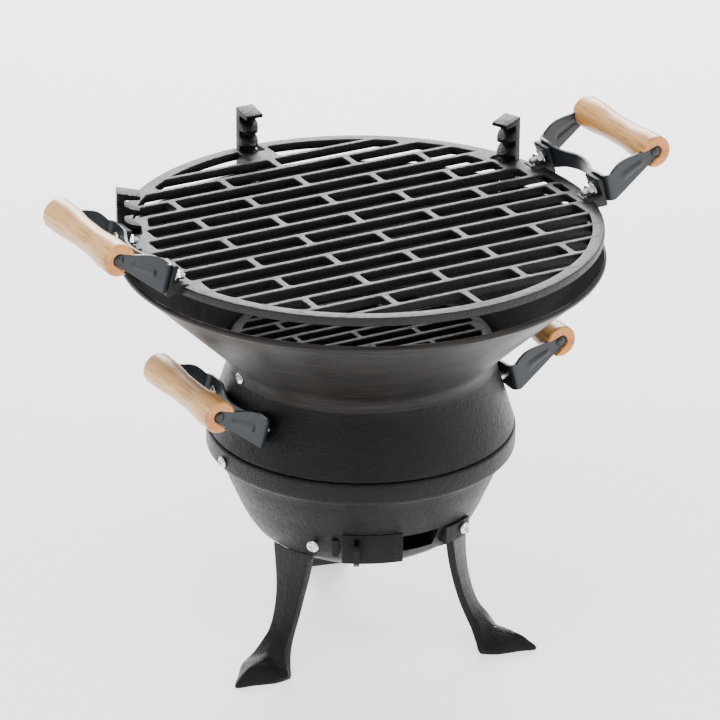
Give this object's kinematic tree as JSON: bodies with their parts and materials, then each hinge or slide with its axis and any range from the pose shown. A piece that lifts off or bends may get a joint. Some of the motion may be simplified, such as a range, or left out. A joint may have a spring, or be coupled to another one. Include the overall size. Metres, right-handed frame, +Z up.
{
  "type": "hibachi grill",
  "caption": "Round cast-iron hibachi grill: flared fire bowl on a vented ash bowl with splayed legs, slotted grates, wooden grips and toothed posts that carry the cooking grate.",
  "frame": {"origin": "on the grill's own vertical axis, at floor level under the feet", "axes": "+X along the cooking grate's bars towards the right-hand handles; -Y is the front with the air vent; +Z up"},
  "size_m": [0.4632, 0.3555, 0.3693],
  "materials": {
    "cast_iron": "fine sand-cast black",
    "enamelled_sheet": "satin black-brown with concentric brush marks",
    "strap_steel": "satin slate grey",
    "wood": "plain turned hardwood",
    "zinc": "bright zinc plate"
  },
  "bodies": {
    "fire_base": {"flared_bowl": "enamelled_sheet", "body_ring": "cast_iron", "lower_bowl": "cast_iron", "height_post_1": "cast_iron", "height_post_2": "cast_iron", "height_post_3": "cast_iron", "vent_frame": "cast_iron", "leg_1": "cast_iron", "leg_2": "cast_iron", "leg_3": "cast_iron", "neck_screw_1": "zinc", "neck_screw_2": "zinc", "band_screw_1": "zinc", "band_screw_2": "zinc", "vent_screw_1": "zinc", "vent_screw_2": "zinc", "vent_nut_1": "zinc", "vent_nut_2": "zinc", "leg_bolt_1": "zinc", "leg_bolt_2": "zinc", "leg_bolt_3": "zinc", "post_bolt_1": "zinc", "post_bolt_2": "zinc", "post_bolt_3": "zinc", "post_nut_1": "zinc", "post_nut_2": "zinc", "post_nut_3": "zinc", "body_handle_left_bracket": "strap_steel", "body_handle_left_grip": "wood", "body_handle_left_rod": "strap_steel", "body_handle_left_bolt_1": "zinc", "body_handle_left_bolt_2": "zinc", "body_handle_left_nut_1": "zinc", "body_handle_left_nut_2": "zinc", "body_handle_right_bracket": "strap_steel", "body_handle_right_grip": "wood", "body_handle_right_rod": "strap_steel", "body_handle_right_bolt_1": "zinc", "body_handle_right_bolt_2": "zinc", "body_handle_right_nut_1": "zinc", "body_handle_right_nut_2": "zinc"},
    "cooking_grate_with_handles": {"cooking_grate": "cast_iron", "grate_handle_left_bracket": "strap_steel", "grate_handle_left_grip": "wood", "grate_handle_left_rod": "strap_steel", "grate_handle_left_bolt_1": "zinc", "grate_handle_left_bolt_2": "zinc", "grate_handle_left_nut_1": "zinc", "grate_handle_left_nut_2": "zinc", "grate_handle_right_bracket": "strap_steel", "grate_handle_right_grip": "wood", "grate_handle_right_rod": "strap_steel", "grate_handle_right_bolt_1": "zinc", "grate_handle_right_bolt_2": "zinc", "grate_handle_right_nut_1": "zinc", "grate_handle_right_nut_2": "zinc"},
    "charcoal_grate": {"charcoal_grate": "cast_iron"},
    "vent_shutter": {"vent_shutter": "cast_iron"}
  },
  "joints": [
    {"name": "grate_lift", "type": "slide", "parent": "fire_base", "child": "cooking_grate_with_handles", "axis": [0, 0, 1], "range_m": [0, 0.08]},
    {"name": "charcoal_grate_lift", "type": "slide", "parent": "fire_base", "child": "charcoal_grate", "axis": [0, 0, 1], "range_m": [0, 0.07]},
    {"name": "vent_slide", "type": "hinge", "parent": "fire_base", "child": "vent_shutter", "pos_m": [0, 0, 0.108], "axis": [0, 0, 1], "range_deg": [0, 20]}
  ]
}
